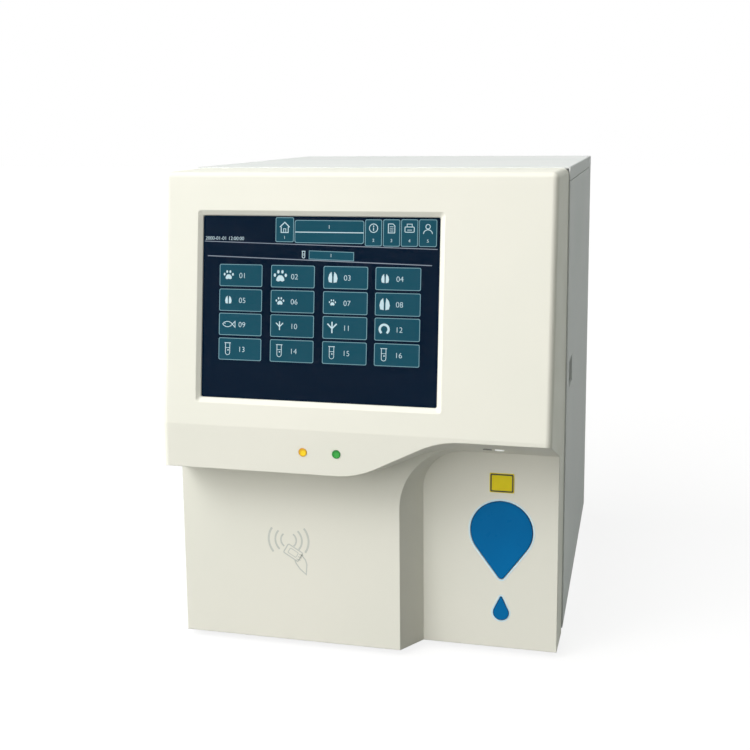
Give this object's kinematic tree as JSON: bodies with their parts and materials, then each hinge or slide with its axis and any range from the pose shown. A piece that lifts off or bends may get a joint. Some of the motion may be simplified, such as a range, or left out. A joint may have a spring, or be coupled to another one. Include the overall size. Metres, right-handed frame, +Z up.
{
  "type": "veterinary hematology analyzer",
  "caption": "Bench blood analyzer with a tilted touch screen, drop-shaped start key in a recess under the head, hinged service door and sampling probe on a belt carriage.",
  "frame": {"origin": "bottom centre of the whole object, on the bench under the feet", "axes": "+X to the right as seen from the front, +Y to the rear, +Z up; the screen faces -Y"},
  "size_m": [0.3516, 0.4708, 0.4415],
  "materials": {
    "cover_white": "fine satin texture",
    "screen_glass": "polished",
    "display_dark": "dark display with a lit face",
    "yellow_lens": "clear tinted",
    "green_lens": "clear tinted",
    "circuit_board": "solder resist",
    "yellow_plate": "printed film",
    "blue_key": "smooth",
    "zinc_sheet": "zinc plated",
    "shell_paint": "fine texture powder coat",
    "foot_rubber": "matt",
    "magnet_black": "matt",
    "black_plastic": "matt",
    "rocker_black": "smooth",
    "fitting_white": "smooth",
    "steel_bright": "ground",
    "aluminium_block": "machined",
    "belt_black": "toothed belt",
    "clear_plastic": "polished",
    "tube_clear": "soft",
    "amber_plastic": "tinted",
    "white_bush": "smooth",
    "smoked_lens": "dark filter"
  },
  "bodies": {
    "housing": {"front_cover": "cover_white", "touch_glass": "screen_glass", "display_panel": "display_dark", "display_bracket": "zinc_sheet", "lamp_yellow": "yellow_lens", "lamp_green": "green_lens", "lamp_board": "circuit_board", "card_reader": "circuit_board", "notice_plate": "yellow_plate", "key_bracket": "zinc_sheet", "drop_lens": "blue_key", "probe_bush": "white_bush", "probe_window": "smoked_lens", "front_frame": "zinc_sheet", "cover_screws": "steel_bright", "base_plate": "zinc_sheet", "rubber_feet": "foot_rubber", "left_side_panel": "shell_paint", "hinge_brackets": "zinc_sheet", "door_magnet": "magnet_black", "top_cover": "shell_paint", "rear_panel": "shell_paint", "fan_frame": "black_plastic", "fan_guard": "steel_bright", "mains_module": "black_plastic", "data_ports": "steel_bright", "fluid_ports": "fitting_white", "rear_screws": "steel_bright", "fluidics_plate": "zinc_sheet", "rod_blocks": "aluminium_block", "guide_rods": "steel_bright", "drive_belt": "belt_black", "carriage_motor": "black_plastic", "bath_bracket": "aluminium_block", "counting_baths": "clear_plastic", "syringe_frame": "aluminium_block", "syringe_barrel": "clear_plastic", "syringe_motor": "black_plastic", "pump_head": "fitting_white", "pump_tube": "tube_clear", "pump_motor": "steel_bright", "valve_manifold": "clear_plastic", "solenoid_valves": "black_plastic", "vacuum_chamber": "amber_plastic", "power_supply": "zinc_sheet", "main_board": "circuit_board"},
    "door": {"service_door": "shell_paint"},
    "key": {"aspirate_key": "blue_key"},
    "carriage": {"probe_carriage": "aluminium_block", "lift_motor": "black_plastic"},
    "lift_spindle": {"lift_screw": "steel_bright"},
    "probe": {"probe_arm": "aluminium_block", "sample_probe": "steel_bright"},
    "drive_wheel": {"drive_pulley": "aluminium_block"},
    "idler_wheel": {"idler_pulley": "aluminium_block"},
    "plunger": {"syringe_plunger": "fitting_white"},
    "syringe_spindle": {"syringe_screw": "steel_bright"},
    "pump_wheel": {"pump_rotor": "steel_bright"},
    "fan": {"fan_rotor": "black_plastic"},
    "rocker": {"power_rocker": "rocker_black"}
  },
  "joints": [
    {"name": "service_door_hinge", "type": "hinge", "parent": "housing", "child": "door", "pos_m": [0.1698, 0.229, 0.22], "axis": [0, 0, 1], "range_deg": [0, 110]},
    {"name": "aspirate_key_press", "type": "slide", "parent": "housing", "child": "key", "axis": [0, 1, 0], "range_m": [0, 0.0015], "stiffness_N_per_m": 1500, "springref_m": -0.0005},
    {"name": "carriage_slide", "type": "slide", "parent": "housing", "child": "carriage", "axis": [0, 1, 0], "range_m": [0, 0.11]},
    {"name": "probe_lift", "type": "slide", "parent": "carriage", "child": "probe", "axis": [0, 0, -1], "range_m": [0, 0.06]},
    {"name": "lift_screw_turn", "type": "hinge", "parent": "carriage", "child": "lift_spindle", "pos_m": [0.1325, -0.17, 0.3], "axis": [0, 0, 1], "range_deg": [-10, 2710]},
    {"name": "drive_pulley_turn", "type": "hinge", "parent": "housing", "child": "drive_wheel", "pos_m": [0.09, -0.037, 0.31749], "axis": [1, 0, 0], "range_deg": [-740, 10]},
    {"name": "idler_pulley_turn", "type": "hinge", "parent": "housing", "child": "idler_wheel", "pos_m": [0.09, -0.186, 0.31749], "axis": [1, 0, 0], "range_deg": [-740, 10]},
    {"name": "syringe_plunger_slide", "type": "slide", "parent": "housing", "child": "plunger", "axis": [0, 0, -1], "range_m": [0, 0.045]},
    {"name": "syringe_screw_turn", "type": "hinge", "parent": "housing", "child": "syringe_spindle", "pos_m": [0.118, 0.058, 0.2], "axis": [0, 0, 1], "range_deg": [-10, 2035]},
    {"name": "pump_rotor_turn", "type": "hinge", "parent": "housing", "child": "pump_wheel", "pos_m": [0.09, 0.112, 0.24], "axis": [1, 0, 0], "continuous": true},
    {"name": "fan_rotor_turn", "type": "hinge", "parent": "housing", "child": "fan", "pos_m": [-0.0913, 0.2, 0.33], "axis": [0, 1, 0], "continuous": true},
    {"name": "power_rocker_tilt", "type": "hinge", "parent": "housing", "child": "rocker", "pos_m": [-0.1298, 0.218, 0.076], "axis": [-1, 0, 0], "range_deg": [0, 20]}
  ],
  "couplings": [
    {"joint": "lift_screw_turn", "follows": "probe_lift", "rad_per_m": 785.4},
    {"joint": "drive_pulley_turn", "follows": "carriage_slide", "rad_per_m": -116.28},
    {"joint": "idler_pulley_turn", "follows": "carriage_slide", "rad_per_m": -116.28},
    {"joint": "syringe_screw_turn", "follows": "syringe_plunger_slide", "rad_per_m": 785.4}
  ]
}
